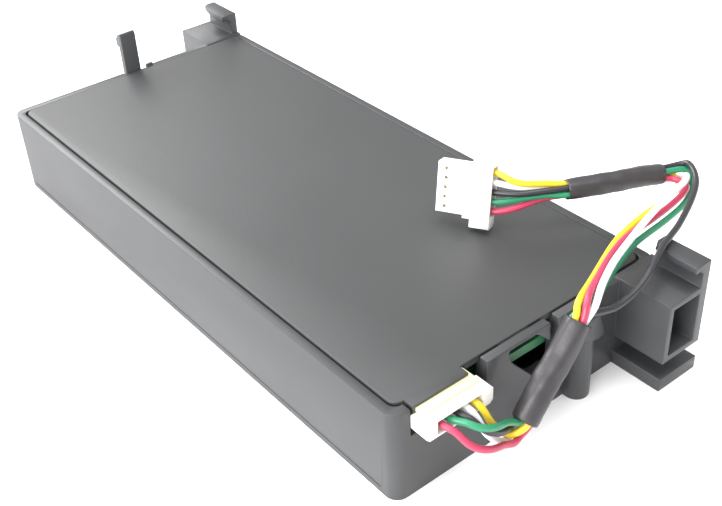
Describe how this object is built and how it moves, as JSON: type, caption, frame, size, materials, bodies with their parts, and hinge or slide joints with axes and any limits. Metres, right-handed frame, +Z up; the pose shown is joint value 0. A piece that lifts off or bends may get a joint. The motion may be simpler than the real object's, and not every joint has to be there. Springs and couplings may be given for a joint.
{
  "type": "raid battery module",
  "caption": "Flat black battery tray with a snap-in lid, rail hooks and sockets at its ends, a snap arm, and a short wire harness with a plug.",
  "frame": {"origin": "centre of the tray's flat bottom", "axes": "+Y along the tray, away from the end that the harness plugs into; +Z up through the lid; +X towards the side with the rail hooks"},
  "size_m": [0.0671, 0.1282, 0.0275],
  "materials": {
    "tray": "satin moulded black, fine texture",
    "lid": "satin moulded black, fine texture",
    "cell_can": "drawn can, satin",
    "steel": "plated, satin",
    "insulator": "pressed fibre sheet",
    "nickel": "rolled nickel strip",
    "foam": "closed-cell foam",
    "tape": "double-sided foam tape",
    "board": "solder mask over glass laminate",
    "chip": "moulded epoxy",
    "ferrite": "sintered ferrite",
    "fuse": "laminate body",
    "ceramic": "fired ceramic",
    "thermistor": "dipped epoxy bead",
    "header_nylon": "moulded nylon, ivory",
    "plug_nylon": "moulded nylon, natural white",
    "contact": "tin-bronze",
    "insulation_red": "extruded PVC",
    "insulation_green": "extruded PVC",
    "insulation_black": "extruded PVC",
    "insulation_white": "extruded PVC",
    "insulation_yellow": "extruded PVC",
    "heat_shrink": "shrunk polyolefin tube, satin"
  },
  "bodies": {
    "root": {"housing": "tray", "lid": "lid", "cell": "cell_can", "cell_terminal": "steel", "cell_insulator": "insulator", "negative_tab": "nickel", "positive_tab": "nickel", "foam_pad": "foam", "adhesive_pad": "tape", "circuit_board": "board", "board_screws": "steel", "gauge_chip": "chip", "charger_chip": "chip", "mosfets": "chip", "inductor": "ferrite", "sense_resistor": "chip", "fuse": "fuse", "capacitors": "ceramic", "resistors": "chip", "thermistor": "thermistor", "header_shell": "header_nylon", "header_pins": "contact", "board_plug": "plug_nylon", "board_plug_contacts": "contact", "loose_plug": "plug_nylon", "loose_plug_contacts": "contact", "wire_red": "insulation_red", "wire_green": "insulation_green", "wire_black": "insulation_black", "wire_white": "insulation_white", "wire_yellow": "insulation_yellow", "low_sleeve": "heat_shrink", "high_sleeve": "heat_shrink"}
  },
  "joints": []
}
